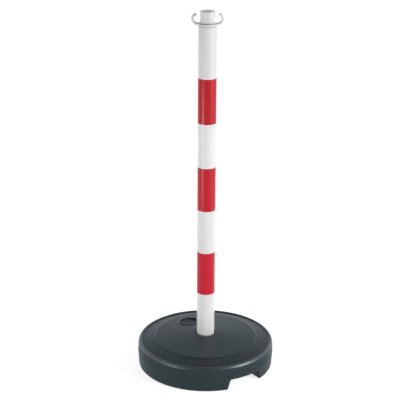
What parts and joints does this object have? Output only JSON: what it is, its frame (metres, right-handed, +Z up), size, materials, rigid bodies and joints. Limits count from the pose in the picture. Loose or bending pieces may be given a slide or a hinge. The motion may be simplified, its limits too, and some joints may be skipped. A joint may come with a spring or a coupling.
{
  "type": "chain barrier post",
  "caption": "Free-standing chain barrier post: banded round tube in a hollow ballast-filled base with hand grips and a filler plug, under a two-hook head with an open cup.",
  "frame": {"origin": "centre of the base's footprint, on the floor plane that the base stands on", "axes": "+Z up along the tube, +X and -X along the two hooks, -Y towards the side with the front hand grip"},
  "size_m": [0.3106, 0.3106, 0.818],
  "materials": {
    "base_plastic": "satin",
    "plug_plastic": "satin",
    "sand": "matte",
    "white_tube": "satin",
    "red_film": "gloss",
    "head_plastic": "satin"
  },
  "bodies": {
    "base": {"base_shell": "base_plastic", "sand_ballast": "sand"},
    "plug": {"filler_plug": "plug_plastic"},
    "post": {"post_tube": "white_tube", "red_band_lower": "red_film", "red_band_middle": "red_film", "red_band_upper": "red_film"},
    "head": {"hook_head": "head_plastic"}
  },
  "joints": [
    {"name": "post_lift", "type": "slide", "parent": "base", "child": "post", "axis": [0, 0, 1], "range_m": [0, 0.0685]},
    {"name": "head_turn", "type": "hinge", "parent": "post", "child": "head", "pos_m": [0, 0, 0.79], "axis": [0, 0, 1], "continuous": true},
    {"name": "plug_pull", "type": "slide", "parent": "base", "child": "plug", "axis": [0, 0, 1], "range_m": [0, 0.02]}
  ]
}
